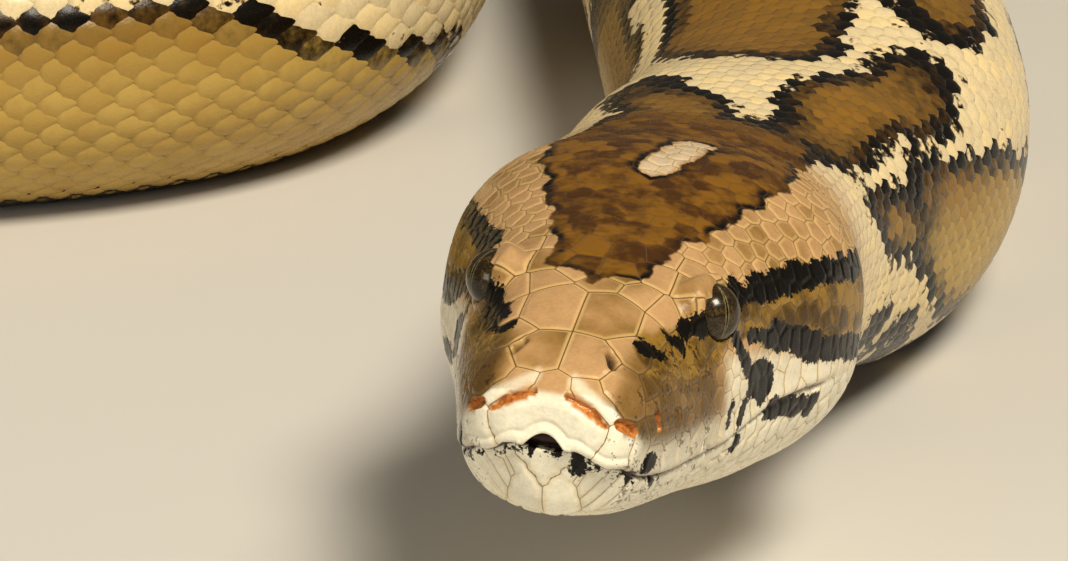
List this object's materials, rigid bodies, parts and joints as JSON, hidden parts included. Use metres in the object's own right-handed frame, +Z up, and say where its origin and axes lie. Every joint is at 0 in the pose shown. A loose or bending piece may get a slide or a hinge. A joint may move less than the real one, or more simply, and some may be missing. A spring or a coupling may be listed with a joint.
{
  "type": "burmese python model",
  "caption": "Life-size still model of a Burmese python lying in a flat open coil, its head raised a little in front.",
  "frame": {"origin": "centre of the model's footprint, on the floor under the belly", "axes": "+Z up; the snout points towards -Y, a little to -X; the snake's left side is towards +X at the head"},
  "size_m": [0.5746, 0.7348, 0.0696],
  "materials": {
    "skin": "dry satin snake skin, golden-brown blotches edged in black on a cream network",
    "jaw": "cream lip and chin shields with a soft sheen",
    "eye": "wet glossy dark olive eye with an upright slit pupil"
  },
  "bodies": {
    "root": {"head": "skin", "lower_jaw": "jaw", "eye_left": "eye", "eye_right": "eye", "neck": "skin", "trunk_1": "skin", "trunk_2": "skin", "trunk_3": "skin", "trunk_4": "skin", "trunk_5": "skin", "trunk_6": "skin", "trunk_7": "skin", "trunk_8": "skin", "trunk_9": "skin", "trunk_10": "skin", "tail": "skin"}
  },
  "joints": []
}
